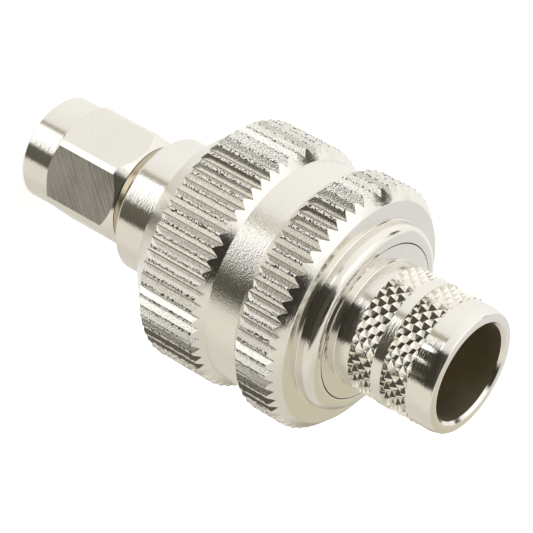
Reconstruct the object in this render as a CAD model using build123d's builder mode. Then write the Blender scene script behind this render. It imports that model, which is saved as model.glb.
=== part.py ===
from build123d import *
import os
from math import radians, cos, sin

os.makedirs("parts", exist_ok=True)

# A coaxial connector in two halves, mated: a small plug on a short adapter, and a crimp plug for
# a thick cable, drawn together by a knurled coupling nut. Millimetres. The axis is Z, the hex nut's
# nose stands on Z = 0 and the cable enters from the top.

# Clearances
run_clear = 0.06  # radial, between pieces that turn or slide on each other
pin_clear = 0.03  # radial, centre pin in its socket
ring_play = 0.04  # axial, each side of a retaining ring in its nut
face_gap = 0.03  # between the two halves when they are drawn up
edge_break = 0.12  # small chamfers on turned edges

# Hex nut of the small interface
hex_flats = 8.0
hex_corner_d = 8.94
hex_turn = -94.6  # degrees, where one corner points
nose_d = 7.94
nose_len = 2.42
hex_nut_len = 8.8
hex_rear_d = 7.76
hex_rear_cone = 0.76
small_thread_d = 5.89  # pitch diameter of the 1/4-36 thread
small_lead_in = 0.4

# Small half of the adapter
shell_recess = 2.6  # from the nose to the outer contact
shell_len = 2.75
shell_od = 4.58
small_line_d = 4.1
neck_d = 6.6
small_ring_t = 0.45
small_ring_depth = 0.35
small_ring_reach = 0.32
small_gasket_t = 0.42
small_gasket_d = 6.2
nut_gap = 0.08  # dark gap behind the hex nut
collar_d = 7.9
collar_len = 1.0
spigot_d = 7.2
spigot_len = 2.95

# Jack half of the adapter
barrel_d = 10.3
barrel_len = 5.04
barrel_edge = 0.35
jack_thread_d = 10.54  # pitch diameter of the 7/16-28 thread
jack_thread_len = 7.4
jack_edge = 0.3
jack_bore_d = 8.1
jack_bore_depth = 5.1
jack_line_d = 4.72
jack_line_recess = 0.6

# Contact that runs through the adapter
small_contact_d = 1.27
small_socket_d = 0.94
small_socket_depth = 2.6
small_slot_len = 1.7
jack_contact_d = 2.0
jack_contact_recess = 1.2
jack_socket_depth = 5.0
jack_slot_len = 3.2
contact_slot = 0.22

# Knurled coupling nut, measured from its rear face
nut_len = 15.6
boss_inset = 0.05  # flange of the crimp body stands this far out
boss_len = 1.27
boss_d = 14.04
boss_round = 0.8
boss_break = 0.24  # the round is turned as two cones that meet here
knurl_d = 18.5
nut_front_d = 14.0
rear_band_len = 4.13
rear_bevel = 0.86
mid_groove_len = 2.59
band_bevel = 0.75
band_bevel_len = 0.65  # axial, at the end of the front band
nut_lip_len = 0.7
nut_lip_d = 11.3
nut_chamber_len = 2.15
knurl_count = 60
knurl_phase = 3.1  # degrees, where the first groove lies
knurl_depth = 0.44
knurl_width = 0.88
groove_open = 1.05  # the cutter opens this far, for a clean cut
big_ring_inset = 1.93  # from the rear face of the knurled band
big_ring_t = 0.55
big_ring_depth = 0.5
big_ring_reach = 0.55

# Crimp body
gasket_t = 0.72
gasket_inner_d = 8.5
gasket_outer_d = 10.3
flange_d = 11.7
flange_len = 6.4
stub_d = 9.3
stub_len = 1.23
dia_d = 9.47  # over the diamond knurl and the smooth ring
dia1_len = 1.97
ring_len = 0.8
dia2_len = 2.05
end_band_d = 9.3
end_band_len = 2.0
mouth_taper_len = 0.64  # the last stretch narrows to the mouth
mouth_d = 9.0
mouth_edge = 0.08
mouth_lead_in = 0.21  # chamfer inside the mouth
cable_bore_d = 7.28
cable_bore_depth = 7.0
cable_lip_t = 0.8
cable_lip_d = 5.2
seat_d = 10.2
seat_len = 1.25
dia_count = 31
dia_depth = 0.42
dia_flare = 1.12  # half width of a groove over its depth
dia1_starts = (8.6, 6.4)  # degrees, where the grooves of each hand begin
dia2_starts = (9.84, 4.97)

# Plug contacts and insulators
sleeve_wall = 0.5
sleeve_slots = 6
sleeve_slot = 0.3
sleeve_slot_len = 4.2
cup_recess = 0.3
cup_clear = 0.15  # axial, above the jack's insulator
bead_len = 3.4
rear_bead_len = 1.0
pin_d = 1.36
pin_reach = 3.4
pin_point = 0.35
pin_body_d = 2.7
pin_front_wall = 0.65
pin_rear_d = 3.9
pin_rear_len = 3.5
pin_bore_d = 2.8
pin_bore_depth = 3.0

# Heights, worked out from the lengths above
neck_z = shell_recess + shell_len
gasket_low = neck_z - small_gasket_t
collar_z = hex_nut_len + nut_gap
barrel_z = collar_z + collar_len
spigot_end = barrel_z + spigot_len
jack_thread_z = barrel_z + barrel_len
jack_end = jack_thread_z + jack_thread_len
jack_floor = jack_end - jack_bore_depth
jack_line_end = jack_end - jack_line_recess
jack_contact_end = jack_end - jack_contact_recess
body_face = jack_end + gasket_t
flange_z = body_face + flange_len
boss_z = flange_z - boss_inset
nut_front = boss_z - nut_len
nut_rear = boss_z - boss_len
groove_end = nut_rear - rear_band_len
groove_start = groove_end - mid_groove_len
dia1_z = flange_z + stub_len
ring_z = dia1_z + dia1_len
dia2_z = ring_z + ring_len
end_band_z = dia2_z + dia2_len
mouth_z = end_band_z + end_band_len
cable_stop = mouth_z - cable_bore_depth
lip_z = cable_stop - cable_lip_t
pin_shoulder = jack_line_end + cup_clear + pin_front_wall

# Radii, worked out from the diameters above
neck_r = neck_d / 2
hex_bore_r = neck_r + run_clear
small_ring_z = (neck_z + hex_nut_len) / 2
small_ring_ir = neck_r - small_ring_depth
small_ring_or = neck_r + small_ring_reach
knurl_r = knurl_d / 2
flange_r = flange_d / 2
nut_bore_r = flange_r + run_clear
big_ring_z = nut_rear - big_ring_inset
big_ring_ir = flange_r - big_ring_depth
big_ring_or = flange_r + big_ring_reach
dia_r = dia_d / 2
sleeve_r = jack_bore_d / 2 - run_clear
line_r = sleeve_r - sleeve_wall


# Hex nut: a turned blank cut to a hexagon
with BuildPart() as sma_coupling_nut:
    with BuildSketch(Plane.XZ):
        cone_len = (hex_corner_d - nose_d) / 2
        Polygon(
            (small_thread_d / 2 + small_lead_in, 0),
            (nose_d / 2 - edge_break, 0),
            (nose_d / 2, edge_break),
            (nose_d / 2, nose_len),
            (hex_corner_d / 2, nose_len + cone_len),
            (hex_corner_d / 2, hex_nut_len - hex_rear_cone),
            (hex_rear_d / 2, hex_nut_len),
            (hex_bore_r + edge_break, hex_nut_len),
            (hex_bore_r, hex_nut_len - edge_break),
            (hex_bore_r, gasket_low - face_gap),
            (small_thread_d / 2, gasket_low - face_gap),
            (small_thread_d / 2, small_lead_in),
            align=None,
        )
    revolve(axis=Axis.Z)
    with BuildSketch(Plane.XY):
        RegularPolygon(hex_flats / 2, 6, major_radius=False, rotation=hex_turn)
    extrude(amount=hex_nut_len, mode=Mode.INTERSECT)
    with BuildSketch(Plane.XY.offset(small_ring_z - small_ring_t / 2 - ring_play)):
        Circle(small_ring_or + run_clear)
    extrude(amount=small_ring_t + 2 * ring_play, mode=Mode.SUBTRACT)

# Retaining ring of the hex nut, open on one side
with BuildPart() as sma_nut_ring:
    with BuildSketch(Plane.XY.offset(small_ring_z - small_ring_t / 2)):
        Circle(small_ring_or)
        Circle(small_ring_ir, mode=Mode.SUBTRACT)
        with Locations((0, small_ring_or)):
            Rectangle(small_ring_or, small_ring_or, mode=Mode.SUBTRACT)
    extrude(amount=small_ring_t)

with BuildPart() as sma_gasket:
    with BuildSketch(Plane.XY.offset(gasket_low)):
        Circle(small_gasket_d / 2)
        Circle(shell_od / 2, mode=Mode.SUBTRACT)
    extrude(amount=small_gasket_t)

# Small half of the adapter: outer contact, neck, collar and the spigot pressed into the barrel
with BuildPart() as sma_body:
    with BuildSketch(Plane.XZ):
        Polygon(
            (small_line_d / 2, shell_recess),
            (shell_od / 2, shell_recess),
            (shell_od / 2, neck_z),
            (neck_r, neck_z),
            (neck_r, small_ring_z - small_ring_t / 2),
            (small_ring_ir, small_ring_z - small_ring_t / 2),
            (small_ring_ir, small_ring_z + small_ring_t / 2),
            (neck_r, small_ring_z + small_ring_t / 2),
            (neck_r, collar_z),
            (collar_d / 2, collar_z),
            (collar_d / 2, barrel_z),
            (spigot_d / 2, barrel_z),
            (spigot_d / 2, spigot_end),
            (small_line_d / 2, spigot_end),
            align=None,
        )
    revolve(axis=Axis.Z)

# Jack half of the adapter: barrel, threaded end and the bore for the plug's outer contact
with BuildPart() as jack_body:
    with BuildSketch(Plane.XZ):
        thread_r = jack_thread_d / 2
        Polygon(
            (spigot_d / 2, barrel_z),
            (barrel_d / 2 - barrel_edge, barrel_z),
            (barrel_d / 2, barrel_z + barrel_edge),
            (barrel_d / 2, jack_thread_z),
            (thread_r, jack_thread_z + edge_break),
            (thread_r, jack_end - jack_edge),
            (thread_r - jack_edge, jack_end),
            (jack_bore_d / 2, jack_end),
            (jack_bore_d / 2, jack_floor),
            (jack_line_d / 2, jack_floor),
            (jack_line_d / 2, spigot_end),
            (spigot_d / 2, spigot_end),
            align=None,
        )
    revolve(axis=Axis.Z)

with BuildPart() as sma_dielectric:
    with BuildSketch(Plane.XY.offset(shell_recess)):
        Circle(small_line_d / 2)
        Circle(small_contact_d / 2, mode=Mode.SUBTRACT)
    extrude(amount=spigot_end - shell_recess)

with BuildPart() as jack_dielectric:
    with BuildSketch(Plane.XY.offset(spigot_end)):
        Circle(jack_line_d / 2)
        Circle(jack_contact_d / 2, mode=Mode.SUBTRACT)
    extrude(amount=jack_line_end - spigot_end)

# Through contact: a socket at each end, slit into tines
with BuildPart() as adapter_contact:
    with BuildSketch(Plane.XZ):
        pin_hole_r = pin_d / 2 + pin_clear
        Polygon(
            (0, shell_recess + small_socket_depth),
            (small_socket_d / 2, shell_recess + small_socket_depth),
            (small_socket_d / 2, shell_recess),
            (small_contact_d / 2, shell_recess),
            (small_contact_d / 2, spigot_end),
            (jack_contact_d / 2, spigot_end),
            (jack_contact_d / 2, jack_contact_end),
            (pin_hole_r, jack_contact_end),
            (pin_hole_r, jack_contact_end - jack_socket_depth),
            (0, jack_contact_end - jack_socket_depth),
            align=None,
        )
    revolve(axis=Axis.Z)
    with BuildSketch(Plane.XY.offset(shell_recess)):
        Rectangle(small_contact_d * 2, contact_slot)
        Rectangle(contact_slot, small_contact_d * 2)
    extrude(amount=small_slot_len, mode=Mode.SUBTRACT)
    with BuildSketch(Plane.XY.offset(jack_contact_end - jack_slot_len)):
        Rectangle(jack_contact_d * 2, contact_slot)
        Rectangle(contact_slot, jack_contact_d * 2)
    extrude(amount=jack_slot_len, mode=Mode.SUBTRACT)

# Knurled coupling nut: turned profile, then straight V grooves all round both bands
with BuildPart() as coupling_nut:
    with BuildSketch(Plane.XZ):
        nut_thread_r = jack_thread_d / 2 + run_clear
        ring_low = big_ring_z - big_ring_t / 2 - ring_play
        ring_high = big_ring_z + big_ring_t / 2 + ring_play
        Polygon(
            (nut_lip_d / 2, nut_front),
            (nut_front_d / 2 - edge_break, nut_front),
            (nut_front_d / 2, nut_front + edge_break),
            (knurl_r, nut_front + edge_break + knurl_r - nut_front_d / 2),
            (knurl_r, groove_start - band_bevel_len),
            (knurl_r - band_bevel, groove_start),
            (knurl_r - band_bevel, groove_end),
            (knurl_r, groove_end + band_bevel),
            (knurl_r, nut_rear - rear_bevel),
            (knurl_r - rear_bevel, nut_rear),
            (boss_d / 2, nut_rear),
            (boss_d / 2, boss_z - boss_round),
            (boss_d / 2 - boss_break, boss_z - boss_break),
            (boss_d / 2 - boss_round, boss_z),
            (nut_bore_r, boss_z),
            (nut_bore_r, ring_high),
            (big_ring_or + run_clear, ring_high),
            (big_ring_or + run_clear, ring_low),
            (nut_bore_r, ring_low),
            (nut_bore_r, body_face - nut_chamber_len),
            (nut_thread_r, body_face - nut_chamber_len),
            (nut_thread_r, nut_front + nut_lip_len),
            (nut_lip_d / 2, nut_front + nut_lip_len),
            align=None,
        )
    revolve(axis=Axis.Z)
    with BuildSketch(Plane.XY.offset(nut_front)):
        with PolarLocations(knurl_r - knurl_depth, knurl_count, start_angle=knurl_phase):
            Polygon(
                (0, 0),
                (groove_open * knurl_depth, groove_open * knurl_width / 2),
                (groove_open * knurl_depth, -groove_open * knurl_width / 2),
                align=None,
            )
    extrude(amount=nut_len, mode=Mode.SUBTRACT)

# Retaining ring of the coupling nut
with BuildPart() as coupling_nut_ring:
    with BuildSketch(Plane.XY.offset(big_ring_z - big_ring_t / 2)):
        Circle(big_ring_or)
        Circle(big_ring_ir, mode=Mode.SUBTRACT)
        with Locations((0, big_ring_or)):
            Rectangle(big_ring_or, big_ring_or, mode=Mode.SUBTRACT)
    extrude(amount=big_ring_t)

with BuildPart() as coupling_gasket:
    with BuildSketch(Plane.XY.offset(jack_end + face_gap)):
        Circle(gasket_outer_d / 2)
        Circle(gasket_inner_d / 2, mode=Mode.SUBTRACT)
    extrude(amount=gasket_t - face_gap)


def groove_cutter(z_low, z_high, hand):
    # One V groove across a band, laid at 45 degrees to the axis
    slant = radians(45 * hand)
    reach = z_high - z_low
    run = Vector(0, cos(slant), sin(slant))
    start = Vector(dia_r - dia_depth, 0, (z_low + z_high) / 2) - run * reach
    with BuildPart() as cutter:
        with BuildSketch(Plane(origin=start, x_dir=(1, 0, 0), z_dir=run)):
            tall = 2 * dia_depth
            wide = tall * dia_flare
            Polygon((0, 0), (tall, wide), (tall, -wide), align=None)
        extrude(amount=2 * reach)
    return cutter.part


def diamond_band(z_low, z_high, starts):
    # A ring whose outside is cut into small pyramids by grooves of both hands
    right_cutter = groove_cutter(z_low, z_high, 1)
    left_cutter = groove_cutter(z_low, z_high, -1)
    with BuildPart() as band:
        with BuildSketch(Plane.XY.offset(z_low)):
            Circle(dia_r)
            Circle(cable_bore_d / 2, mode=Mode.SUBTRACT)
        extrude(amount=z_high - z_low)
        with PolarLocations(0, dia_count, start_angle=starts[0]):
            add(right_cutter, mode=Mode.SUBTRACT)
        with PolarLocations(0, dia_count, start_angle=starts[1]):
            add(left_cutter, mode=Mode.SUBTRACT)
    return band.part


# Crimp body: flange inside the coupling nut, then the stub that takes the braid
with BuildPart() as crimp_body:
    with BuildSketch(Plane.XZ):
        Polygon(
            (seat_d / 2, body_face),
            (flange_r - edge_break, body_face),
            (flange_r, body_face + edge_break),
            (flange_r, big_ring_z - big_ring_t / 2),
            (big_ring_ir, big_ring_z - big_ring_t / 2),
            (big_ring_ir, big_ring_z + big_ring_t / 2),
            (flange_r, big_ring_z + big_ring_t / 2),
            (flange_r, flange_z),
            (stub_d / 2, flange_z),
            (stub_d / 2, dia1_z),
            (cable_bore_d / 2, dia1_z),
            (cable_bore_d / 2, cable_stop),
            (cable_lip_d / 2, cable_stop),
            (cable_lip_d / 2, lip_z),
            (line_r, lip_z),
            (line_r, body_face + seat_len),
            (seat_d / 2, body_face + seat_len),
            align=None,
        )
    revolve(axis=Axis.Z)
    add(diamond_band(dia1_z, ring_z, dia1_starts))
    with BuildSketch(Plane.XY.offset(ring_z)):
        Circle(dia_r)
        Circle(cable_bore_d / 2, mode=Mode.SUBTRACT)
    extrude(amount=ring_len)
    add(diamond_band(dia2_z, end_band_z, dia2_starts))
    with BuildSketch(Plane.XZ):
        Polygon(
            (cable_bore_d / 2, end_band_z),
            (end_band_d / 2, end_band_z),
            (end_band_d / 2, mouth_z - mouth_taper_len),
            (mouth_d / 2, mouth_z - mouth_edge),
            (mouth_d / 2 - mouth_edge, mouth_z),
            (cable_bore_d / 2 + mouth_lead_in, mouth_z),
            (cable_bore_d / 2, mouth_z - mouth_lead_in),
            align=None,
        )
    revolve(axis=Axis.Z)

# Outer contact of the plug: slotted spring sleeve with a flange that sits in the crimp body
with BuildPart() as plug_outer_contact:
    with BuildSketch(Plane.XZ):
        Polygon(
            (line_r, jack_floor + face_gap),
            (sleeve_r - edge_break, jack_floor + face_gap),
            (sleeve_r, jack_floor + face_gap + edge_break),
            (sleeve_r, body_face),
            (seat_d / 2, body_face),
            (seat_d / 2, body_face + seat_len),
            (line_r, body_face + seat_len),
            align=None,
        )
    revolve(axis=Axis.Z)
    with BuildSketch(Plane.XY.offset(jack_floor)):
        with PolarLocations(sleeve_r, sleeve_slots):
            Rectangle(4 * sleeve_wall, sleeve_slot)
    extrude(amount=sleeve_slot_len, mode=Mode.SUBTRACT)

# Insulators of the plug
with BuildPart() as plug_dielectric:
    with BuildSketch(Plane.XZ):
        cup_r = jack_line_d / 2 + run_clear
        cup_floor = jack_line_end + cup_clear
        Polygon(
            (cup_r, jack_floor + cup_recess),
            (line_r, jack_floor + cup_recess),
            (line_r, cup_floor + bead_len),
            (pin_body_d / 2, cup_floor + bead_len),
            (pin_body_d / 2, pin_shoulder),
            (pin_d / 2, pin_shoulder),
            (pin_d / 2, cup_floor),
            (cup_r, cup_floor),
            align=None,
        )
    revolve(axis=Axis.Z)

with BuildPart() as rear_bead:
    with BuildSketch(Plane.XY.offset(lip_z - rear_bead_len)):
        Circle(line_r)
        Circle(pin_rear_d / 2, mode=Mode.SUBTRACT)
    extrude(amount=rear_bead_len)

# Centre pin: pointed front, and a bored rear for the cable's inner conductor
with BuildPart() as centre_pin:
    with BuildSketch(Plane.XZ):
        pin_tip = jack_contact_end - pin_reach
        Polygon(
            (0, pin_tip),
            (pin_d / 2 - pin_point / 2, pin_tip),
            (pin_d / 2, pin_tip + pin_point),
            (pin_d / 2, pin_shoulder),
            (pin_body_d / 2, pin_shoulder),
            (pin_body_d / 2, lip_z - pin_rear_len),
            (pin_rear_d / 2, lip_z - pin_rear_len),
            (pin_rear_d / 2, lip_z),
            (pin_bore_d / 2, lip_z),
            (pin_bore_d / 2, lip_z - pin_bore_depth),
            (0, lip_z - pin_bore_depth),
            align=None,
        )
    revolve(axis=Axis.Z)

pieces = {
    "sma_coupling_nut": sma_coupling_nut,
    "sma_nut_ring": sma_nut_ring,
    "sma_gasket": sma_gasket,
    "sma_body": sma_body,
    "jack_body": jack_body,
    "sma_dielectric": sma_dielectric,
    "jack_dielectric": jack_dielectric,
    "adapter_contact": adapter_contact,
    "coupling_nut": coupling_nut,
    "coupling_nut_ring": coupling_nut_ring,
    "coupling_gasket": coupling_gasket,
    "crimp_body": crimp_body,
    "plug_outer_contact": plug_outer_contact,
    "plug_dielectric": plug_dielectric,
    "rear_bead": rear_bead,
    "centre_pin": centre_pin,
}
for name, piece in pieces.items():
    piece.part.label = name
    export_step(piece.part, f"parts/{name}.step")
    print(name, round(piece.part.volume, 2), "mm3", len(piece.part.solids()), "solid")
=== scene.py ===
import bpy
import bmesh
from math import atan2, cos, degrees, pi, radians, sin, sqrt
from mathutils import Matrix, Vector


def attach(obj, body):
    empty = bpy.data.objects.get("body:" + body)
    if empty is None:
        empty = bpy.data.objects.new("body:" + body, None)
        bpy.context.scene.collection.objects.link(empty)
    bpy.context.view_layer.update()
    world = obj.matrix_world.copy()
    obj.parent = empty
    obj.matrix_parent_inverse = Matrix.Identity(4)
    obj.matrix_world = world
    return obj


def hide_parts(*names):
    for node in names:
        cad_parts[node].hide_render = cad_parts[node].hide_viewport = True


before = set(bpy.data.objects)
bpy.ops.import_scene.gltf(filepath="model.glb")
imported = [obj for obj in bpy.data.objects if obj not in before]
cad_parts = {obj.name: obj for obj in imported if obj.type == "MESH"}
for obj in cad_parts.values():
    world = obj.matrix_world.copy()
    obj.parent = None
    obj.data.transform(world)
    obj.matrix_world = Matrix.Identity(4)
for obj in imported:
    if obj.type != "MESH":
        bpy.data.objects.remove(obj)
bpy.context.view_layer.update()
mm = 0.001


# small helpers

def fromAxis(point):  # distance from the Z axis, in millimetres
    return sqrt(point.x ** 2 + point.y ** 2) / mm


def deselectAll():
    if bpy.context.object and bpy.context.object.mode != "OBJECT":
        bpy.ops.object.mode_set(mode="OBJECT")
    bpy.ops.object.select_all(action="DESELECT")


def makeActive(piece):
    deselectAll()
    piece.select_set(True)
    bpy.context.view_layer.objects.active = piece


def settle(piece):  # the place goes into the mesh, so that the object stays at the origin
    makeActive(piece)
    bpy.ops.object.transform_apply(location=True, rotation=True, scale=True)


def pickEdges(piece, wanted):  # selects edges of the active piece in edit mode
    bpy.ops.mesh.select_mode(type="EDGE")
    bpy.ops.mesh.select_all(action="DESELECT")
    mesh = bmesh.from_edit_mesh(piece.data)
    for edge in mesh.edges:
        if wanted(edge):
            edge.select_set(True)
    bmesh.update_edit_mesh(piece.data)


def pickFaces(piece, wanted):  # the same for faces
    bpy.ops.mesh.select_mode(type="FACE")
    bpy.ops.mesh.select_all(action="DESELECT")
    mesh = bmesh.from_edit_mesh(piece.data)
    for face in mesh.faces:
        if wanted(face):
            face.select_set(True)
    bmesh.update_edit_mesh(piece.data)


def turnPiece(name, profile, segments):  # a closed profile of (radius, height), turned on Z
    deselectAll()
    radius, height = profile[0]
    bpy.ops.mesh.primitive_circle_add(
        vertices=segments, radius=radius * mm, location=(0, 0, height * mm))
    piece = bpy.context.object
    piece.name = name
    piece.data.name = name
    bpy.ops.object.mode_set(mode="EDIT")
    bpy.ops.mesh.select_all(action="SELECT")
    for nextRadius, nextHeight in profile[1:] + profile[:1]:
        bpy.ops.mesh.extrude_edges_move(
            TRANSFORM_OT_translate={"value": (0, 0, (nextHeight - height) * mm)})
        if nextRadius != radius:
            grow = nextRadius / radius
            bpy.ops.transform.resize(
                value=(grow, grow, 1), center_override=(0, 0, nextHeight * mm))
        radius, height = nextRadius, nextHeight
    bpy.ops.mesh.select_all(action="SELECT")
    bpy.ops.mesh.remove_doubles(threshold=0.001 * mm)
    bpy.ops.mesh.normals_make_consistent(inside=False)
    settle(piece)
    return piece


def roundRings(piece, corners, width, segments=2):
    # bevels whole turned edges, each named by its radius and height
    near = 0.004
    makeActive(piece)
    bpy.ops.object.mode_set(mode="EDIT")

    def onCorner(edge):
        ends = [(fromAxis(v.co), v.co.z / mm) for v in edge.verts]
        return any(all(abs(r - radius) < near and abs(z - height) < near for r, z in ends)
                   for radius, height in corners)

    pickEdges(piece, onCorner)
    bpy.ops.mesh.bevel(offset=width * mm, segments=segments, profile=0.5, affect="EDGES")
    bpy.ops.object.mode_set(mode="OBJECT")


def combine(piece, tool, operation):  # boolean, then the tool is thrown away
    change = piece.modifiers.new("combine", "BOOLEAN")
    change.operation = operation
    change.solver = "MANIFOLD"
    change.object = tool
    makeActive(piece)
    bpy.ops.object.modifier_apply(modifier=change.name)
    bpy.data.objects.remove(tool, do_unlink=True)


def copyRound(piece, count):  # copies the whole mesh round the Z axis, inside one object
    makeActive(piece)
    bpy.ops.object.mode_set(mode="EDIT")
    bpy.ops.mesh.select_all(action="SELECT")
    for step in range(count - 1):
        bpy.ops.mesh.duplicate()
        bpy.ops.transform.rotate(
            value=2 * pi / count, orient_axis="Z", center_override=(0, 0, 0))
    bpy.ops.object.mode_set(mode="OBJECT")


def vSection(name, tipRadius, openRadius, halfWidth, height, upright):
    # a triangle with its tip towards the axis: flat for a straight groove, upright for a slanted
    deselectAll()
    bpy.ops.mesh.primitive_circle_add(vertices=3, radius=1, fill_type="NGON")
    piece = bpy.context.object
    piece.name = name
    corners = sorted((v.co.copy() for v in piece.data.vertices), key=lambda c: c.y)
    turn = pi / 2 if corners[-1].y > 0.9 else -pi / 2  # the odd corner is turned to -X
    piece.rotation_euler = (0, 0, turn)
    settle(piece)
    tall = (openRadius - tipRadius) * mm / 1.5  # a triangle of radius 1 is 1.5 tall
    piece.scale = (tall, halfWidth * mm / (sqrt(3) / 2), 1)
    piece.location = (tipRadius * mm + tall, 0, 0)
    settle(piece)
    if upright:
        piece.rotation_euler = (pi / 2, 0, 0)
    piece.location = (0, 0, height * mm)
    settle(piece)
    return piece


def smoothAngles(piece, angle=28):  # weighted normals, so that large faces still look flat
    makeActive(piece)
    bpy.ops.object.shade_smooth_by_angle(angle=radians(angle))
    weigh = piece.modifiers.new("weigh", "WEIGHTED_NORMAL")
    weigh.keep_sharp = True
    bpy.ops.object.modifier_apply(modifier=weigh.name)


def fixNormals(piece):  # merges what touches, then turns every face outwards
    makeActive(piece)
    bpy.ops.object.mode_set(mode="EDIT")
    bpy.ops.mesh.select_all(action="SELECT")
    bpy.ops.mesh.remove_doubles(threshold=0.0005 * mm)
    bpy.ops.mesh.normals_make_consistent(inside=False)
    bpy.ops.object.mode_set(mode="OBJECT")


def threadRidge(name, pitch, rootRadius, crestRadius, rootWidth, crestWidth, low, turns, start):
    # a small trapezium, screwed up the axis and closed at both ends
    steps = 72
    deselectAll()
    bpy.ops.mesh.primitive_plane_add(size=1, rotation=(pi / 2, 0, 0))
    piece = bpy.context.object
    piece.name = name
    settle(piece)
    piece.scale = (abs(crestRadius - rootRadius) * mm, 1, rootWidth * mm)
    piece.location = ((crestRadius + rootRadius) / 2 * mm, 0, low * mm)
    settle(piece)
    bpy.ops.object.mode_set(mode="EDIT")
    pickEdges(piece, lambda e: all(
        abs(v.co.x - crestRadius * mm) < 0.001 * mm for v in e.verts))
    bpy.ops.transform.resize(
        value=(1, 1, crestWidth / rootWidth), center_override=(crestRadius * mm, 0, low * mm))
    bpy.ops.mesh.select_all(action="SELECT")
    bpy.ops.mesh.delete(type="ONLY_FACE")
    bpy.ops.object.mode_set(mode="OBJECT")
    piece.rotation_euler = (0, 0, radians(start))
    settle(piece)
    screw = piece.modifiers.new("screw", "SCREW")
    screw.angle = 2 * pi
    screw.screw_offset = pitch * mm
    screw.iterations = turns
    screw.steps = steps
    screw.render_steps = steps
    screw.use_merge_vertices = False
    makeActive(piece)
    bpy.ops.object.modifier_apply(modifier=screw.name)
    bpy.ops.object.mode_set(mode="EDIT")
    for end in (low, low + pitch * turns):
        pickEdges(piece, lambda e: e.is_boundary and all(
            abs(v.co.z - end * mm) < rootWidth * mm for v in e.verts))
        bpy.ops.mesh.edge_face_add()
    bpy.ops.object.mode_set(mode="OBJECT")
    fixNormals(piece)
    return piece


def addThread(piece, v, low):  # root and crest are counted from the pitch radius
    t = v["thread"]
    ridge = threadRidge(
        piece.name + "Thread", v["pitch"], v["threadRadius"] + t["root"],
        v["threadRadius"] + t["crest"], v["pitch"] * t["rootShare"],
        v["pitch"] * t["crestShare"], low, t["turns"], t["start"])
    combine(piece, ridge, "UNION")


# finishes

def addNode(tree, kind, **values):
    node = tree.nodes.new(kind)
    for key, value in values.items():
        setattr(node, key, value)
    return node


def maths(tree, operation, first, second=None, third=None, clamp=False):
    node = addNode(tree, "ShaderNodeMath", operation=operation, use_clamp=clamp)
    for socket, value in zip(node.inputs, (first, second, third)):
        if value is None:
            continue
        if isinstance(value, (int, float)):
            socket.default_value = value
        else:
            tree.links.new(value, socket)
    return node.outputs[0]


def newGroup(name, inputs, outputs):  # a shader group, with its input and output nodes
    group = bpy.data.node_groups.new(name, "ShaderNodeTree")
    for direction, sockets in (("INPUT", inputs), ("OUTPUT", outputs)):
        for socket in sockets:
            group.interface.new_socket(socket, in_out=direction, socket_type="NodeSocketFloat")
    return group, addNode(group, "NodeGroupInput"), addNode(group, "NodeGroupOutput")


def objectPlace(tree):
    return addNode(tree, "ShaderNodeTexCoord").outputs["Object"]


def splitPlace(tree, place):  # x, y and z of a place or a direction
    split = addNode(tree, "ShaderNodeSeparateXYZ")
    tree.links.new(place, split.inputs[0])
    return split.outputs


def turningMarksGroup():  # fine rings left by the tool, round the axis on walls and faces alike
    group, given, out = newGroup("turningMarks", ("Lines", "Breaks"), ("Height",))
    x, y, z = splitPlace(group, objectPlace(group))
    across = maths(group, "ADD", maths(group, "POWER", x, 2), maths(group, "POWER", y, 2))
    radius = maths(group, "SQRT", across)
    join = addNode(group, "ShaderNodeCombineXYZ")
    lines = given.outputs["Lines"]
    breaks = given.outputs["Breaks"]
    group.links.new(maths(group, "MULTIPLY", radius, lines), join.inputs[0])
    group.links.new(maths(group, "MULTIPLY", z, lines), join.inputs[1])
    group.links.new(maths(group, "MULTIPLY", x, breaks), join.inputs[2])
    grain = addNode(group, "ShaderNodeTexNoise", noise_dimensions="4D")
    group.links.new(join.outputs[0], grain.inputs["Vector"])
    group.links.new(maths(group, "MULTIPLY", y, breaks), grain.inputs["W"])
    grain.inputs["Scale"].default_value = 1
    grain.inputs["Detail"].default_value = 3
    grain.inputs["Roughness"].default_value = 0.6
    group.links.new(grain.outputs["Fac"], out.inputs["Height"])
    return group


def plateAndShadeCloudGroup():  # uneven plating: soft clouds, and small specks where it is thinner; in the knurl looks the specks carry painted shade
    finer = 9  # specks to a cloud
    edge = 0.08  # how softly a speck ends
    group, given, out = newGroup("plateAndShadeCloud", ("Size", "Rarity"), ("Cloud", "Specks"))
    place = objectPlace(group)
    cloud = addNode(group, "ShaderNodeTexNoise")
    group.links.new(place, cloud.inputs["Vector"])
    group.links.new(maths(group, "DIVIDE", 1, given.outputs["Size"]), cloud.inputs["Scale"])
    cloud.inputs["Detail"].default_value = 4
    spots = addNode(group, "ShaderNodeTexNoise")
    group.links.new(place, spots.inputs["Vector"])
    group.links.new(maths(group, "DIVIDE", finer, given.outputs["Size"]), spots.inputs["Scale"])
    spots.inputs["Detail"].default_value = 1
    rarity = given.outputs["Rarity"]
    ramp = addNode(group, "ShaderNodeMapRange")
    group.links.new(rarity, ramp.inputs["From Min"])
    group.links.new(maths(group, "ADD", rarity, edge), ramp.inputs["From Max"])
    group.links.new(spots.outputs["Fac"], ramp.inputs["Value"])
    group.links.new(cloud.outputs["Fac"], out.inputs["Cloud"])
    group.links.new(ramp.outputs["Result"], out.inputs["Specks"])
    return group


brush = {"slant": 52, "radius": 4.2}  # strokes lean by the slant, laid out at this radius


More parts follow.
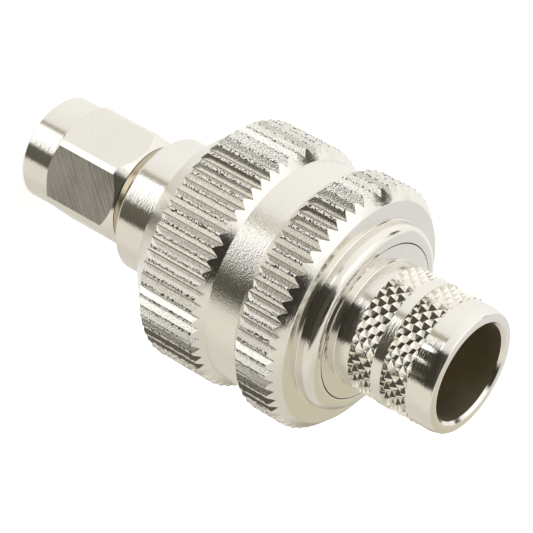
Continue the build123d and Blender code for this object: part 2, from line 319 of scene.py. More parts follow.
def brushMarksGroup():  # slanted strokes on the hexagon, laid out by angle and height
    group, given, out = newGroup("brushMarks", ("Lines", "Breaks"), ("Height",))
    x, y, z = splitPlace(group, objectPlace(group))
    girth = maths(group, "MULTIPLY", maths(group, "ARCTAN2", y, x), brush["radius"] * mm)
    slant = radians(brush["slant"])
    along = maths(group, "ADD", maths(group, "MULTIPLY", z, cos(slant)),
                  maths(group, "MULTIPLY", girth, sin(slant)))
    across = maths(group, "SUBTRACT", maths(group, "MULTIPLY", z, sin(slant)),
                   maths(group, "MULTIPLY", girth, cos(slant)))
    join = addNode(group, "ShaderNodeCombineXYZ")
    group.links.new(maths(group, "MULTIPLY", along, given.outputs["Breaks"]), join.inputs[0])
    group.links.new(maths(group, "MULTIPLY", across, given.outputs["Lines"]), join.inputs[1])
    strokes = addNode(group, "ShaderNodeTexNoise")
    group.links.new(join.outputs[0], strokes.inputs["Vector"])
    strokes.inputs["Scale"].default_value = 1
    strokes.inputs["Detail"].default_value = 3
    group.links.new(strokes.outputs["Fac"], out.inputs["Height"])
    return group


turningMarks = turningMarksGroup()
brushMarks = brushMarksGroup()
plateAndShadeCloud = plateAndShadeCloudGroup()


def newMaterial(name):
    material = bpy.data.materials.new(name)
    material.use_nodes = True
    tree = material.node_tree
    return material, tree, tree.nodes["Principled BSDF"]


def placeGroup(tree, group, **values):  # a shared group, set to this material's values
    node = addNode(tree, "ShaderNodeGroup")
    node.node_tree = group
    for key, value in values.items():
        node.inputs[key].default_value = value
    return node.outputs


def mixColours(tree, first, second, factor, shader):
    tint = addNode(tree, "ShaderNodeMix", data_type="RGBA")
    tint.inputs["A"].default_value = (*first, 1)
    tint.inputs["B"].default_value = (*second, 1)
    tree.links.new(factor, tint.inputs["Factor"])
    tree.links.new(tint.outputs["Result"], shader.inputs["Base Color"])


def roughen(tree, value, span, roughness, shader):  # the span becomes the two roughnesses
    rough = addNode(tree, "ShaderNodeMapRange")
    rough.inputs["From Min"].default_value = span[0]
    rough.inputs["From Max"].default_value = span[1]
    rough.inputs["To Min"].default_value = roughness[0]
    rough.inputs["To Max"].default_value = roughness[1]
    tree.links.new(value, rough.inputs["Value"])
    tree.links.new(rough.outputs["Result"], shader.inputs["Roughness"])


def addBump(tree, height, strength, depth):  # depth in millimetres
    bump = addNode(tree, "ShaderNodeBump")
    bump.inputs["Strength"].default_value = strength
    bump.inputs["Distance"].default_value = depth * mm
    tree.links.new(height, bump.inputs["Height"])
    return bump


def turnedMetal(name, look):  # plated or bare metal with turning marks or brush strokes
    material, tree, shader = newMaterial(name)
    shader.inputs["Metallic"].default_value = 1
    marksGroup = brushMarks if look["brushed"] else turningMarks
    marks = placeGroup(tree, marksGroup, Lines=look["lines"], Breaks=look["breaks"])
    grain = placeGroup(tree, marksGroup, Lines=look["grainLines"], Breaks=look["grainBreaks"])
    cloudAndSpecks = placeGroup(tree, plateAndShadeCloud, Size=look["cloudSize"] * mm, Rarity=look["rarity"])
    tone = maths(tree, "MULTIPLY", cloudAndSpecks["Cloud"], look["cloud"])
    tone = maths(tree, "ADD", tone, maths(tree, "MULTIPLY", cloudAndSpecks["Specks"], look["specks"]),
                 clamp=True)
    mixColours(tree, look["colour"], look["thinPlateAndShadeColour"], tone, shader)
    wear = maths(tree, "MULTIPLY_ADD", marks["Height"], 0.5,
                 maths(tree, "MULTIPLY", cloudAndSpecks["Cloud"], 0.5))
    roughen(tree, wear, (0.3, 0.7), look["roughness"], shader)  # most of the noise lies there
    bump = addBump(tree, marks["Height"], look["bump"], look["bumpDepth"])
    relief = addBump(tree, grain["Height"], 1, look["grain"])
    tree.links.new(bump.outputs["Normal"], relief.inputs["Normal"])
    tree.links.new(relief.outputs["Normal"], shader.inputs["Normal"])
    if look["anisotropic"]:
        shader.inputs["Anisotropic"].default_value = look["anisotropic"]
        tangent = addNode(tree, "ShaderNodeTangent", direction_type="RADIAL", axis="Z")
        tree.links.new(tangent.outputs[0], shader.inputs["Tangent"])
    return material


def insulator(name, look):  # turned plastic or rubber
    material, tree, shader = newMaterial(name)
    marks = placeGroup(tree, turningMarks, Lines=look["lines"], Breaks=look["breaks"])
    cloudAndSpecks = placeGroup(tree, plateAndShadeCloud, Size=look["cloudSize"] * mm)
    mixColours(tree, look["colour"], look["shade"], cloudAndSpecks["Cloud"], shader)
    roughen(tree, marks["Height"], (0, 1), look["roughness"], shader)
    bump = addBump(tree, marks["Height"], look["bump"], look["bumpDepth"])
    tree.links.new(bump.outputs["Normal"], shader.inputs["Normal"])
    return material


nickelLook = {
    "colour": (0.80, 0.775, 0.725),
    "thinPlateAndShadeColour": (0.70, 0.66, 0.58),  # where the plating is thin; in the knurl, crest and root looks it is painted shade
    "cloudSize": 3.0,  # millimetres
    "cloud": 0.35,
    "specks": 0.15,
    "rarity": 0.62,
    "roughness": (0.06, 0.15),
    "lines": 9000,  # marks to a metre across the turning, and breaks along it
    "breaks": 150,
    "bump": 0.25,
    "bumpDepth": 0.01,
    "grainLines": 9000,
    "grainBreaks": 2500,
    "grain": 0.009,  # depth in millimetres
    "anisotropic": 0.4,
    "brushed": False,
}
faceLook = dict(nickelLook, roughness=(0.08, 0.18), anisotropic=0.5, lines=7000, grain=0.003)
flatLook = dict(
    nickelLook, roughness=(0.14, 0.36), anisotropic=0, brushed=True, lines=5000, breaks=260,
    grainLines=6500, grainBreaks=400, grain=0.005)
collarLook = dict(
    nickelLook, colour=(0.50, 0.43, 0.31), thinPlateAndShadeColour=(0.40, 0.33, 0.22), roughness=(0.14, 0.26))
blastLook = dict(
    nickelLook, roughness=(0.05, 0.11), anisotropic=0, grainLines=8500, grainBreaks=8500,
    grain=0.018)
pyramidLook = dict(
    nickelLook, colour=(0.90, 0.875, 0.82), thinPlateAndShadeColour=(0.80, 0.765, 0.69),
    roughness=(0.07, 0.16), anisotropic=0, grainBreaks=7000, grain=0.008)
# the darker thin colour and the extra specks here are painted shade in the grooves, kept by the
# looks made from this one
knurlLook = dict(
    nickelLook, thinPlateAndShadeColour=(0.50, 0.46, 0.37), cloudSize=0.8, cloud=0.15, specks=0.4,
    roughness=(0.05, 0.14), anisotropic=0, lines=12000, breaks=4000, grainLines=10000,
    grainBreaks=10000, grain=0.010)
# painted shade: the flank facing onward gets darker and more specks than the other flank
ribbedLook = dict(
    knurlLook, thinPlateAndShadeColour=(0.40, 0.36, 0.28), cloudSize=0.9, cloud=0.1, rarity=0.60, grain=0.012)
# painted shade: near-black specks over about half of each crest stand for the tiny shadows in its
# rough rounding
crestShadeLook = dict(
    ribbedLook, thinPlateAndShadeColour=(0.04, 0.035, 0.025), cloudSize=1.1, cloud=0, specks=1, rarity=0.515,
    grain=0.03)
# painted shade: a darker, rougher finish on the groove roots draws a thin dark line along each
# groove
rootShadeLook = dict(
    knurlLook, colour=(0.48, 0.44, 0.35), thinPlateAndShadeColour=(0.18, 0.16, 0.12), roughness=(0.2, 0.35))
# the bore's darker brown colour is partly poorer plating inside and partly painted shade of the
# deep bore
boreLook = dict(
    nickelLook, colour=(0.50, 0.455, 0.34), thinPlateAndShadeColour=(0.42, 0.38, 0.27), roughness=(0.4, 0.6),
    grain=0.004)
goldLook = dict(
    nickelLook, colour=(0.83, 0.64, 0.34), thinPlateAndShadeColour=(0.72, 0.52, 0.25), grain=0.004)
springLook = dict(
    nickelLook, colour=(0.62, 0.55, 0.42), thinPlateAndShadeColour=(0.45, 0.38, 0.27), roughness=(0.25, 0.4),
    grain=0.004)
plasticLook = {
    "colour": (0.86, 0.85, 0.82),
    "shade": (0.78, 0.77, 0.73),
    "cloudSize": 2,
    "roughness": (0.35, 0.5),
    "lines": 5000,
    "breaks": 200,
    "bump": 0.3,
    "bumpDepth": 0.02,
}
rubberLook = dict(
    plasticLook, colour=(0.42, 0.10, 0.06), shade=(0.32, 0.07, 0.045), roughness=(0.45, 0.6),
    lines=3000, bump=0.2)

turnedNickel = turnedMetal("turnedNickel", nickelLook)
facedNickel = turnedMetal("facedNickel", faceLook)
brushedFlat = turnedMetal("brushedFlat", flatLook)
tannedCollar = turnedMetal("tannedCollar", collarLook)
knurledNickel = turnedMetal("knurledNickel", knurlLook)
pyramidNickel = turnedMetal("pyramidNickel", pyramidLook)
blastedNickel = turnedMetal("blastedNickel", blastLook)
ribbedFlank = turnedMetal("ribbedFlank", ribbedLook)
shadeSpeckedCrest = turnedMetal("shadeSpeckedCrest", crestShadeLook)
shadedRoot = turnedMetal("shadedRoot", rootShadeLook)
darkBore = turnedMetal("darkBore", boreLook)
contactGold = turnedMetal("contactGold", goldLook)
springBronze = turnedMetal("springBronze", springLook)
whiteInsulator = insulator("whiteInsulator", plasticLook)
sealRubber = insulator("sealRubber", rubberLook)
print("finishes made")


def dress(piece, *materials):  # the first one is on every face at the start
    piece.data.materials.clear()
    for material in materials:
        piece.data.materials.append(material)


def finishFaces(piece, index, wanted):  # gives faces another of the piece's materials
    makeActive(piece)
    bpy.ops.object.mode_set(mode="EDIT")
    pickFaces(piece, wanted)
    piece.active_material_index = index
    bpy.ops.object.material_slot_assign()
    bpy.ops.object.mode_set(mode="OBJECT")


def isEndFace(face):  # square to the axis
    return abs(face.normal.z) > 0.98


def hand(piece, node, body):  # the piece stands for a node and rides on its body
    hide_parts(node)
    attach(piece, body)
    print(piece.name, len(piece.data.polygons), "faces")


# hex nut of the small interface, in millimetres and degrees as all that follow

hexNut = {
    "flats": 8.0,
    "cornerTurn": 25.4,
    "cornerRadius": 4.47,
    "noseRadius": 3.97,
    "noseEnd": 2.42,
    "length": 8.80,
    "rearRadius": 3.88,
    "rearCone": 0.76,
    "bore": 3.36,
    "ringSlot": (6.81, 7.34, 3.68),
    "threadRadius": 2.945,
    "threadFloor": 4.90,
    "leadIn": 0.4,
    "edge": 0.12,
    "pitch": 0.706,
    "thread": {"root": 0.1, "crest": -0.22, "rootShare": 0.8, "crestShare": 0.15,
               "turns": 5, "start": 0},
    "threadGap": 0.35,  # from the lead-in to the first turn
    "flatArea": 2,  # only the six flats are larger
    "segments": 240,
}


def makeHexNut(v):
    coneEnd = v["noseEnd"] + v["cornerRadius"] - v["noseRadius"]
    low, high, slotRadius = v["ringSlot"]
    profile = [
        (v["threadRadius"] + v["leadIn"], 0),
        (v["noseRadius"] - v["edge"], 0),
        (v["noseRadius"], v["edge"]),
        (v["noseRadius"], v["noseEnd"]),
        (v["cornerRadius"], coneEnd),
        (v["cornerRadius"], v["length"] - v["rearCone"]),
        (v["rearRadius"], v["length"]),
        (v["bore"] + v["edge"], v["length"]),
        (v["bore"], v["length"] - v["edge"]),
        (v["bore"], high),
        (slotRadius, high),
        (slotRadius, low),
        (v["bore"], low),
        (v["bore"], v["threadFloor"]),
        (v["threadRadius"], v["threadFloor"]),
        (v["threadRadius"], v["leadIn"]),
    ]
    piece = turnPiece("smaNut", profile, v["segments"])
    deselectAll()
    bpy.ops.mesh.primitive_cylinder_add(
        vertices=6, radius=v["flats"] / 2 / cos(pi / 6) * mm, depth=2 * v["length"] * mm,
        location=(0, 0, v["length"] / 2 * mm))
    prism = bpy.context.object
    corner = prism.data.vertices[0].co
    prism.rotation_euler = (0, 0, radians(v["cornerTurn"]) - atan2(corner.y, corner.x))
    settle(prism)
    combine(piece, prism, "INTERSECT")
    addThread(piece, v, v["leadIn"] + v["threadGap"])
    fixNormals(piece)
    smoothAngles(piece)
    dress(piece, turnedNickel, facedNickel, brushedFlat)
    finishFaces(piece, 1, isEndFace)

    def onFlat(face):
        return face.calc_area() > v["flatArea"] * mm ** 2 and abs(face.normal.z) < 0.01

    finishFaces(piece, 2, onFlat)
    return piece


smaNut = makeHexNut(hexNut)
hand(smaNut, "sma_coupling_nut", "sma_nut")

# small half of the adapter, seen as the collar behind the hex nut

collarPart = {
    "line": 2.05, "shell": 2.29, "shellStart": 2.6, "neckStart": 5.35, "neck": 3.30,
    "slot": (6.85, 7.30, 2.95), "collarStart": 8.88, "collar": 3.95, "collarEnd": 9.88,
    "spigot": 3.6, "end": 12.83, "edgeRound": 0.07, "segments": 200,
}


def makeCollarPart(v):
    low, high, slotRadius = v["slot"]
    profile = [
        (v["line"], v["shellStart"]),
        (v["shell"], v["shellStart"]),
        (v["shell"], v["neckStart"]),
        (v["neck"], v["neckStart"]),
        (v["neck"], low),
        (slotRadius, low),
        (slotRadius, high),
        (v["neck"], high),
        (v["neck"], v["collarStart"]),
        (v["collar"], v["collarStart"]),
        (v["collar"], v["collarEnd"]),
        (v["spigot"], v["collarEnd"]),
        (v["spigot"], v["end"]),
        (v["line"], v["end"]),
    ]
    piece = turnPiece("smaBody", profile, v["segments"])
    roundRings(piece, [(v["collar"], v["collarStart"]), (v["collar"], v["collarEnd"]),
                       (v["neck"], v["neckStart"]), (v["shell"], v["shellStart"])],
               v["edgeRound"])
    fixNormals(piece)
    smoothAngles(piece)
    dress(piece, turnedNickel, facedNickel, tannedCollar)
    finishFaces(piece, 1, isEndFace)

    def onCollar(face):  # its rim and front, not the face against the barrel
        middle = face.calc_center_median()
        within = v["collarStart"] - 0.01 < middle.z / mm < v["collarEnd"] - 0.01
        return within and fromAxis(middle) > v["spigot"]

    finishFaces(piece, 2, onCollar)
    return piece


smaBody = makeCollarPart(collarPart)
hand(smaBody, "sma_body", "adapter")

# barrel and threaded jack end

jackPart = {
    "spigot": 3.6, "start": 9.88, "barrel": 5.15, "chamfer": 0.35, "edgeRound": 0.05,
    "threadStart": 14.92, "threadRadius": 5.27, "rootDepth": 0.25, "pitch": 0.907,
    "thread": {"root": -0.30, "crest": 0.20, "rootShare": 0.85, "crestShare": 0.2,
               "turns": 7, "start": 0},
    "threadGap": 0.4, "end": 22.32, "endChamfer": 0.3, "bore": 4.05, "floor": 17.22,
    "line": 2.36, "spigotEnd": 12.83, "edge": 0.12, "segments": 240,
}


def makeJack(v):
    rootRadius = v["threadRadius"] - v["rootDepth"]
    profile = [
        (v["spigot"], v["start"]),
        (v["barrel"] - v["chamfer"], v["start"]),
        (v["barrel"], v["start"] + v["chamfer"]),
        (v["barrel"], v["threadStart"]),
        (rootRadius, v["threadStart"] + v["edge"]),
        (rootRadius, v["end"] - v["endChamfer"]),
        (rootRadius - v["endChamfer"], v["end"]),
        (v["bore"], v["end"]),
        (v["bore"], v["floor"]),
        (v["line"], v["floor"]),
        (v["line"], v["spigotEnd"]),
        (v["spigot"], v["spigotEnd"]),
    ]
    piece = turnPiece("jackBody", profile, v["segments"])
    roundRings(piece, [(v["barrel"] - v["chamfer"], v["start"]),
                       (v["barrel"], v["start"] + v["chamfer"])], v["edgeRound"])
    addThread(piece, v, v["threadStart"] + v["threadGap"])
    fixNormals(piece)
    smoothAngles(piece)
    dress(piece, turnedNickel, facedNickel)
    finishFaces(piece, 1, isEndFace)
    return piece


jackBody = makeJack(jackPart)
hand(jackBody, "jack_body", "adapter")

# the large knurled nut

bigNut = {
    "front": 13.79, "frontRadius": 7.0, "frontEdge": 0.12, "knurl": 9.249,
    "grooveStart": 21.40, "grooveEnd": 23.99, "bandBevel": 0.75, "bandBevelLength": 0.65,
    "rear": 28.12, "rearBevel": 0.86, "rearRound": 0.06,
    "boss": 7.02, "bossEnd": 29.39, "bossDish": 0.001, "bossRound": 0.8, "bossFoot": 0.12,
    "bore": 5.91, "ringSlot": (25.875, 26.505, 6.46), "chamberStart": 20.89,
    "threadRadius": 5.33, "rootDepth": 0.22, "lip": 5.65, "lipEnd": 14.49, "pitch": 0.907,
    "thread": {"root": 0.28, "crest": -0.18, "rootShare": 0.85, "crestShare": 0.2,
               "turns": 5, "start": 191.9},
    "threadGap": 0.86,
    "grooves": 60, "groovePhase": 3.1, "grooveDepth": 0.44, "grooveWidth": 0.80,
    "over": 0.03, "overrun": 0.1, "rootRound": 0.05, "rootShade": 0.035, "crestRound": 0.08,
    "segments": 360,
}


def straightCutter(v):  # the V grooves, all round, with a small round along each root
    root = v["knurl"] - v["grooveDepth"]
    cutter = vSection("grooveCutter", root, v["knurl"] + v["over"],
                      v["grooveWidth"] / 2 * (v["grooveDepth"] + v["over"]) / v["grooveDepth"],
                      v["front"] - v["overrun"], False)
    makeActive(cutter)
    bpy.ops.object.mode_set(mode="EDIT")
    bpy.ops.mesh.select_all(action="SELECT")
    bpy.ops.mesh.extrude_region_move(
        TRANSFORM_OT_translate={
            "value": (0, 0, (v["rear"] - v["front"] + 2 * v["overrun"]) * mm)})
    bpy.ops.mesh.select_all(action="SELECT")
    bpy.ops.mesh.normals_make_consistent(inside=False)
    pickEdges(cutter, lambda e: all(fromAxis(c.co) < root + 0.01 for c in e.verts))
    bpy.ops.mesh.bevel(offset=v["rootRound"] * mm, segments=3, affect="EDGES")
    bpy.ops.mesh.select_all(action="SELECT")
    bpy.ops.transform.rotate(
        value=-radians(v["groovePhase"]), orient_axis="Z", center_override=(0, 0, 0))
    bpy.ops.object.mode_set(mode="OBJECT")
    copyRound(cutter, v["grooves"])
    return cutter


def roundCrests(piece, v):  # the long edges left between the grooves
    makeActive(piece)
    bpy.ops.object.mode_set(mode="EDIT")

    def isCrest(edge):
        ends = [corner.co for corner in edge.verts]
        onTop = all(fromAxis(end) > v["knurl"] - 0.01 for end in ends)
        isLong = abs(ends[0].z - ends[1].z) > 1 * mm
        return onTop and isLong and not edge.is_boundary and edge.calc_face_angle(0) > 0.3

    pickEdges(piece, isCrest)
    bpy.ops.mesh.bevel(offset=v["crestRound"] * mm, segments=4, affect="EDGES")
    bpy.ops.object.mode_set(mode="OBJECT")


def makeBigNut(v):
    low, high, slotRadius = v["ringSlot"]
    coneTop = v["front"] + v["frontEdge"] + v["knurl"] - v["frontRadius"]
    bossTop = v["bossEnd"] - v["bossDish"]
    threadRoot = v["threadRadius"] + v["rootDepth"]
    profile = [
        (v["lip"], v["front"]),
        (v["frontRadius"] - v["frontEdge"], v["front"]),
        (v["frontRadius"], v["front"] + v["frontEdge"]),
        (v["knurl"], coneTop),
        (v["knurl"], v["grooveStart"] - v["bandBevelLength"]),
        (v["knurl"] - v["bandBevel"], v["grooveStart"]),
        (v["knurl"] - v["bandBevel"], v["grooveEnd"]),
        (v["knurl"], v["grooveEnd"] + v["bandBevel"]),
        (v["knurl"], v["rear"] - v["rearBevel"]),
        (v["knurl"] - v["rearBevel"], v["rear"]),
        (v["boss"], v["rear"]),
        (v["boss"], bossTop),
        (v["bore"], v["bossEnd"]),
        (v["bore"], high),
        (slotRadius, high),
        (slotRadius, low),
        (v["bore"], low),
        (v["bore"], v["chamberStart"]),
        (threadRoot, v["chamberStart"]),
        (threadRoot, v["lipEnd"]),
        (v["lip"], v["lipEnd"]),
    ]
    piece = turnPiece("couplingNut", profile, v["segments"])
    roundRings(piece, [(v["boss"], bossTop)], v["bossRound"], 8)
    roundRings(piece, [(v["boss"], v["rear"])], v["bossFoot"], 3)
    roundRings(piece, [(v["knurl"] - v["rearBevel"], v["rear"])], v["rearRound"])
    combine(piece, straightCutter(v), "DIFFERENCE")
    roundCrests(piece, v)
    addThread(piece, v, v["lipEnd"] + v["threadGap"])
    fixNormals(piece)
    smoothAngles(piece)
    dress(piece, turnedNickel, facedNickel, knurledNickel, blastedNickel, shadeSpeckedCrest,
          ribbedFlank, shadedRoot)
    finishFaces(piece, 1, isEndFace)

    def atRadius(low, high, flatness=0.3):
        def wanted(face):
            radius = fromAxis(face.calc_center_median())
            return low < radius < high and abs(face.normal.z) < flatness
        return wanted

    slack = 0.1
    outside = v["knurl"] + slack
    crest = v["knurl"] - v["crestRound"]
    root = v["knurl"] - v["grooveDepth"]
    grooveFloor = v["knurl"] - v["bandBevel"]
    # the groove flanks get the knurl finish with its painted shade specks
    finishFaces(piece, 2, atRadius(root - slack, crest))
    # the crest faces get the near-black painted shade specks
    finishFaces(piece, 4, atRadius(crest, outside))

    def facesOnward(face):  # the flank that looks the way the angle grows
        middle = face.calc_center_median()
        sideways = (middle.x * face.normal.y - middle.y * face.normal.x) / (fromAxis(middle) * mm)
        return sideways > 0.4 and atRadius(root + 0.02, crest)(face)

    def onFrontCone(face):
        return face.normal.z < -0.5 and atRadius(v["frontRadius"], outside, 0.9)(face)

    # the onward flanks get the darker painted shade
    finishFaces(piece, 5, facesOnward)
    # the groove roots get the painted shade line
    finishFaces(piece, 6, atRadius(root - slack, root + v["rootShade"]))
    finishFaces(piece, 3, onFrontCone)
    finishFaces(piece, 3, atRadius(grooveFloor - slack, root - slack))
    return piece


couplingNut = makeBigNut(bigNut)
hand(couplingNut, "coupling_nut", "knurled_nut")

# crimp body: flange in the nut's boss, and the stub with two bands of small pyramids

stub = {
    "start": 23.04, "seat": 5.1, "seatEnd": 24.29, "flange": 5.85, "flangeEnd": 29.44,
    "flangeRound": 0.06, "ringSlot": (25.915, 26.465, 5.35), "edge": 0.12,
    "stub": 4.65, "stubRound": 0.10, "bandOne": (30.67, 32.64), "bandTwo": (33.44, 35.49),
    "crest": 4.735, "endBand": 4.65, "taperStart": 36.85, "taperRound": 0.06,
    "mouth": 37.49, "mouthRadius": 4.50, "mouthEdge": 0.08, "mouthRound": 0.04, "leadIn": 0.21,
    "bore": 3.64, "stop": 30.49, "lip": 2.6, "lipStart": 29.69, "line": 3.49,
    "pyramids": 31, "depth": 0.30, "halfWidth": 0.31, "over": 0.1, "steps": 8,
    "startsOne": (8.6, 6.4), "startsTwo": (9.84, 4.97), "segments": 248,
}


def slantedCutter(v, low, high, start, side):
    # one V groove that climbs at 45 degrees, copied round and trimmed to its band
    spread = v["halfWidth"] * sqrt(2) * (v["depth"] + v["over"]) / v["depth"]
    margin = spread + v["over"]
    rise = (high - low + 2 * margin) / v["steps"]
    swing = degrees(rise / v["crest"]) * side
    cutter = vSection("slantedCutter", v["crest"] - v["depth"], v["crest"] + v["over"], spread,
                      low - margin, True)

    def swingRound(angle):
        bpy.ops.transform.rotate(
            value=-radians(angle), orient_axis="Z", center_override=(0, 0, 0))

    makeActive(cutter)
    bpy.ops.object.mode_set(mode="EDIT")
    bpy.ops.mesh.select_all(action="SELECT")
    middle = (low + high) / 2
    swingRound(start - swing * (middle - (low - margin)) / rise)
    for step in range(v["steps"]):
        bpy.ops.mesh.extrude_region_move(TRANSFORM_OT_translate={"value": (0, 0, rise * mm)})
        swingRound(swing)
    bpy.ops.mesh.select_all(action="SELECT")
    bpy.ops.mesh.normals_make_consistent(inside=False)
    for height, keepAbove in ((low, True), (high, False)):
        bpy.ops.mesh.select_all(action="SELECT")
        bpy.ops.mesh.bisect(
            plane_co=(0, 0, height * mm), plane_no=(0, 0, 1), use_fill=True,
            clear_inner=keepAbove, clear_outer=not keepAbove)
    bpy.ops.object.mode_set(mode="OBJECT")
    copyRound(cutter, v["pyramids"])
    fixNormals(cutter)
    return cutter


def makeStub(v):
    low, high, slotRadius = v["ringSlot"]
    profile = [
        (v["seat"], v["start"]),
        (v["flange"] - v["edge"], v["start"]),
        (v["flange"], v["start"] + v["edge"]),
        (v["flange"], low),
        (slotRadius, low),
        (slotRadius, high),
        (v["flange"], high),
        (v["flange"], v["flangeEnd"]),
        (v["stub"], v["flangeEnd"]),
        (v["stub"], v["bandOne"][0]),
        (v["crest"], v["bandOne"][0]),
        (v["crest"], v["bandOne"][1]),
        (v["crest"], v["bandTwo"][0]),
        (v["crest"], v["bandTwo"][1]),
        (v["endBand"], v["bandTwo"][1]),
        (v["endBand"], v["taperStart"]),
        (v["mouthRadius"], v["mouth"] - v["mouthEdge"]),
        (v["mouthRadius"] - v["mouthEdge"], v["mouth"]),
        (v["bore"] + v["leadIn"], v["mouth"]),
        (v["bore"], v["mouth"] - v["leadIn"]),
        (v["bore"], v["stop"]),
        (v["lip"], v["stop"]),
        (v["lip"], v["lipStart"]),
        (v["line"], v["lipStart"]),
        (v["line"], v["seatEnd"]),
        (v["seat"], v["seatEnd"]),
    ]
    piece = turnPiece("crimpBody", profile, v["segments"])
    roundRings(piece, [(v["flange"], v["flangeEnd"])], v["flangeRound"])
    roundRings(piece, [(v["stub"], v["flangeEnd"])], v["stubRound"], 3)
    roundRings(piece, [(v["mouthRadius"] - v["mouthEdge"], v["mouth"]),
                       (v["mouthRadius"], v["mouth"] - v["mouthEdge"])], v["mouthRound"])
    roundRings(piece, [(v["endBand"], v["taperStart"])], v["taperRound"])
    for band, starts in ((v["bandOne"], v["startsOne"]), (v["bandTwo"], v["startsTwo"])):
        for side, start in zip((1, -1), starts):
            combine(piece, slantedCutter(v, band[0], band[1], start, side), "DIFFERENCE")
    fixNormals(piece)
    smoothAngles(piece)
    dress(piece, turnedNickel, facedNickel, pyramidNickel, darkBore)
    finishFaces(piece, 1, isEndFace)

    def inBore(face):
        middle = face.calc_center_median()
        return fromAxis(middle) < v["bore"] + 0.02 and middle.z > v["lipStart"] * mm

    def inBand(face):
        middle = face.calc_center_median()
        onPyramids = fromAxis(middle) > v["crest"] - v["depth"] - 0.1
        return onPyramids and abs(face.normal.z) < 0.9 and any(
            low * mm < middle.z < high * mm for low, high in (v["bandOne"], v["bandTwo"]))

    # the bore faces take the darker colour, partly painted shade
    finishFaces(piece, 3, inBore)
    finishFaces(piece, 2, inBand)
    return piece


crimpBody = makeStub(stub)
hand(crimpBody, "crimp_body", "cable_plug")

# inner pieces keep their solids and get their own finish

innerFinish = {
    "sma_nut_ring": springBronze,
    "coupling_nut_ring": springBronze,
    "sma_gasket": sealRubber,
    "coupling_gasket": sealRubber,
    "sma_dielectric": whiteInsulator,
    "jack_dielectric": whiteInsulator,
    "plug_dielectric": whiteInsulator,
    "rear_bead": whiteInsulator,
    "adapter_contact": contactGold,
    "centre_pin": contactGold,
    "plug_outer_contact": contactGold,
}
for node, material in innerFinish.items():
    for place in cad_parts[node].material_slots:
        place.material = material
print("inner pieces dressed")

# camera, at the photograph's angle

cameraPlace = {
    "eye": (0.327, -168.857, 112.696),
    "right": (-0.48434, 0.42127, 0.76677),
    "down": (0.87488, 0.23322, 0.4245),
    "lens": 186.865,
    "sensor": 36,
    "clip": (0.01, 20),  # metres
}
right = Vector(cameraPlace["right"]).normalized()
up = -Vector(cameraPlace["down"]).normalized()
back = right.cross(up).normalized()
cameraData = bpy.data.cameras.new("photoCamera")
cameraData.lens = cameraPlace["lens"]
cameraData.sensor_width = cameraPlace["sensor"]
cameraData.clip_start, cameraData.clip_end = cameraPlace["clip"]
camera = bpy.data.objects.new("photoCamera", cameraData)
bpy.context.scene.collection.objects.link(camera)
turn = Matrix((right, up, back)).transposed().to_4x4()
camera.matrix_world = Matrix.Translation(Vector(cameraPlace["eye"]) * mm) @ turn
bpy.context.scene.camera = camera
print("camera placed")

# studio: floor, pale tent, panels seen in the metal

floorLook = {"size": 4, "colour": (0.85, 0.85, 0.85), "roughness": 0.8, "glow": 0.6}


def makeFloor(v):  # the glow shows to the camera alone and doesn't light the part
    deselectAll()
    bpy.ops.mesh.primitive_plane_add(size=v["size"], location=(0, 0, 0))
    floor = bpy.context.object
    floor.name = "studioFloor"
    material, tree, shader = newMaterial("paleFloor")
    shader.inputs["Base Color"].default_value = (*v["colour"], 1)
    shader.inputs["Roughness"].default_value = v["roughness"]
    glow = addNode(tree, "ShaderNodeEmission")
    glow.inputs["Strength"].default_value = v["glow"]
    seen = addNode(tree, "ShaderNodeLightPath")
    both = addNode(tree, "ShaderNodeAddShader")
    pick = addNode(tree, "ShaderNodeMixShader")
    tree.links.new(shader.outputs[0], both.inputs[0])
    tree.links.new(glow.outputs[0], both.inputs[1])
    tree.links.new(seen.outputs["Is Camera Ray"], pick.inputs[0])
    tree.links.new(shader.outputs[0], pick.inputs[1])
    tree.links.new(both.outputs[0], pick.inputs[2])
    tree.links.new(pick.outputs[0], tree.nodes["Material Output"].inputs["Surface"])
    dress(floor, material)
    floor.visible_glossy = False


makeFloor(floorLook)

tent = {
    "bright": (1.0, 1.0, 0.985), "brightLevel": 1.20, "brightFrom": (-0.96, 0.13, 0.24),
    "dim": (1.0, 0.975, 0.90), "dimLevel": 0.70,
}
paleTint = (1.0, 0.965, 0.88)
gapTint = (1.0, 0.94, 0.74)
gapLevel = 0.75  # panels darker than this are gaps in the tent

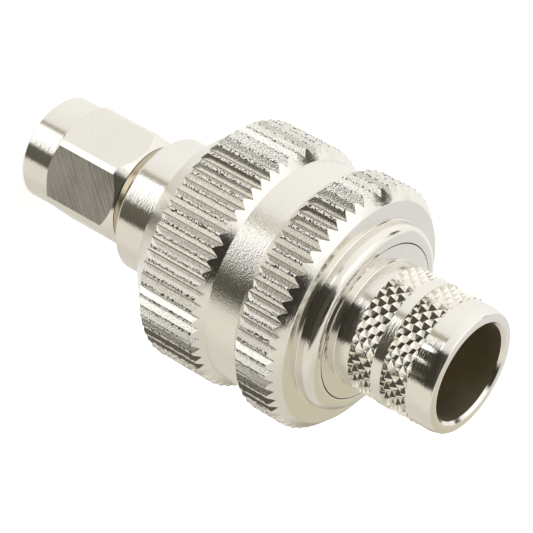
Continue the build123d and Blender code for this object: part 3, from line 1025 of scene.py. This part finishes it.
# each panel lies at a compass angle and a height above the horizon, in degrees, and the later
# ones lie over the earlier
panels = {
    "warmPanel": {"compass": 350, "wide": 60, "height": 10, "tall": 130, "level": 0.92,
                  "soft": 30, "tint": paleTint},
    "sidePanel": {"compass": 40, "wide": 60, "height": 0, "tall": 110, "level": 0.80,
                  "soft": 30, "tint": paleTint},
    "farPanel": {"compass": 110, "wide": 40, "height": 32, "tall": 40, "level": 0.88, "soft": 10},
    "farShade": {"compass": 70, "wide": 40, "height": 32, "tall": 36, "level": 0.70, "soft": 10},
    "sideShade": {"compass": 74, "wide": 24, "height": -8, "tall": 40, "level": 0.42, "soft": 24},
    "softbox": {"compass": 272, "wide": 51, "height": -34, "tall": 52, "level": 1.6, "soft": 3},
    "softboxEdge": {"compass": 241, "wide": 9, "height": -31, "tall": 50, "level": 0.46,
                    "soft": 8},
    "highPanel": {"compass": 207, "wide": 78, "height": 53, "tall": 32, "level": 1.4, "soft": 6},
    "farLine": {"compass": 151, "wide": 15, "height": 27, "tall": 14, "level": 0.10, "soft": 5},
    "lowerGap": {"compass": 309, "wide": 32, "height": -40, "tall": 62, "level": 0.11, "soft": 3},
    "slantedGap": {"compass": 283, "wide": 34, "height": -27, "tall": 14, "level": 0.17,
                   "soft": 3, "slant": 3.8},
    "middleGap": {"compass": 293, "wide": 66, "height": -5, "tall": 40, "level": 0.05, "soft": 4},
    "paleGap": {"compass": 296, "wide": 76, "height": 31, "tall": 36, "level": 0.08, "soft": 8},
    "upperGap": {"compass": 296, "wide": 76, "height": 64, "tall": 32, "level": 0.04, "soft": 8},
}


def studioWorld():
    world = bpy.data.worlds.new("paleTent")
    bpy.context.scene.world = world
    world.use_nodes = True
    tree = world.node_tree
    tree.nodes.clear()
    direction = addNode(tree, "ShaderNodeTexCoord").outputs["Generated"]
    lean = addNode(tree, "ShaderNodeVectorMath", operation="DOT_PRODUCT")
    tree.links.new(direction, lean.inputs[0])
    lean.inputs[1].default_value = tent["brightFrom"]
    tone = addNode(tree, "ShaderNodeMix", data_type="RGBA")
    tone.inputs["A"].default_value = (*(c * tent["dimLevel"] for c in tent["dim"]), 1)
    tone.inputs["B"].default_value = (*(c * tent["brightLevel"] for c in tent["bright"]), 1)
    share = maths(tree, "MULTIPLY_ADD", lean.outputs["Value"], 0.5, 0.5)  # 0 to 1
    tree.links.new(share, tone.inputs["Factor"])
    colour = tone.outputs["Result"]
    x, y, z = splitPlace(tree, direction)
    compass = maths(tree, "ARCTAN2", y, x)
    height = maths(tree, "ARCSINE", z)

    def within(value, half, soft):  # 1 inside, 0 outside, with a soft edge
        edge = addNode(tree, "ShaderNodeMapRange", interpolation_type="SMOOTHSTEP")
        edge.inputs["From Min"].default_value = half + soft
        edge.inputs["From Max"].default_value = half - soft
        tree.links.new(value, edge.inputs["Value"])
        return edge.outputs["Result"]

    def cover(below, mask, level, tint):  # lays a panel over what is there
        layer = addNode(tree, "ShaderNodeMix", data_type="RGBA")
        layer.inputs["B"].default_value = (*(c * level for c in tint), 1)
        tree.links.new(below, layer.inputs["A"])
        tree.links.new(mask, layer.inputs["Factor"])
        return layer.outputs["Result"]

    for v in panels.values():
        rise = maths(tree, "SUBTRACT", height, radians(v["height"]))
        swing = maths(tree, "SUBTRACT", compass, radians(v["compass"]))
        if v.get("slant"):
            swing = maths(tree, "ADD", swing, maths(tree, "MULTIPLY", rise, v["slant"]))
        swing = maths(tree, "WRAP", swing, pi, -pi)
        soft = radians(v["soft"] / 2)
        across = within(maths(tree, "ABSOLUTE", swing), radians(v["wide"] / 2), soft)
        along = within(maths(tree, "ABSOLUTE", rise), radians(v["tall"] / 2), soft)
        tint = v.get("tint", gapTint if v["level"] < gapLevel else (1, 1, 1))
        colour = cover(colour, maths(tree, "MULTIPLY", across, along), v["level"], tint)
    seen = addNode(tree, "ShaderNodeLightPath")
    white = addNode(tree, "ShaderNodeBackground")
    cloth = addNode(tree, "ShaderNodeBackground")
    tree.links.new(colour, cloth.inputs["Color"])
    pick = addNode(tree, "ShaderNodeMixShader")
    out = addNode(tree, "ShaderNodeOutputWorld")
    tree.links.new(seen.outputs["Is Camera Ray"], pick.inputs[0])
    tree.links.new(cloth.outputs[0], pick.inputs[1])
    tree.links.new(white.outputs[0], pick.inputs[2])
    tree.links.new(pick.outputs[0], out.inputs["Surface"])


studioWorld()

lamp = {"energy": 6, "size": 0.6, "distance": 0.9, "lean": 0.9, "height": 20 * mm}
lampData = bpy.data.lights.new("overheadLamp", "AREA")
lampData.energy = lamp["energy"]
lampData.shape = "SQUARE"
lampData.size = lamp["size"]
overhead = bpy.data.objects.new("overheadLamp", lampData)
bpy.context.scene.collection.objects.link(overhead)
towards = (up + Vector((0, 0, lamp["lean"]))).normalized()
overhead.location = towards * lamp["distance"] + Vector((0, 0, lamp["height"]))
overhead.rotation_euler = towards.to_track_quat("Z", "Y").to_euler()
overhead.visible_glossy = False
print("studio set")

bpy.context.scene.view_settings.view_transform = "Standard"
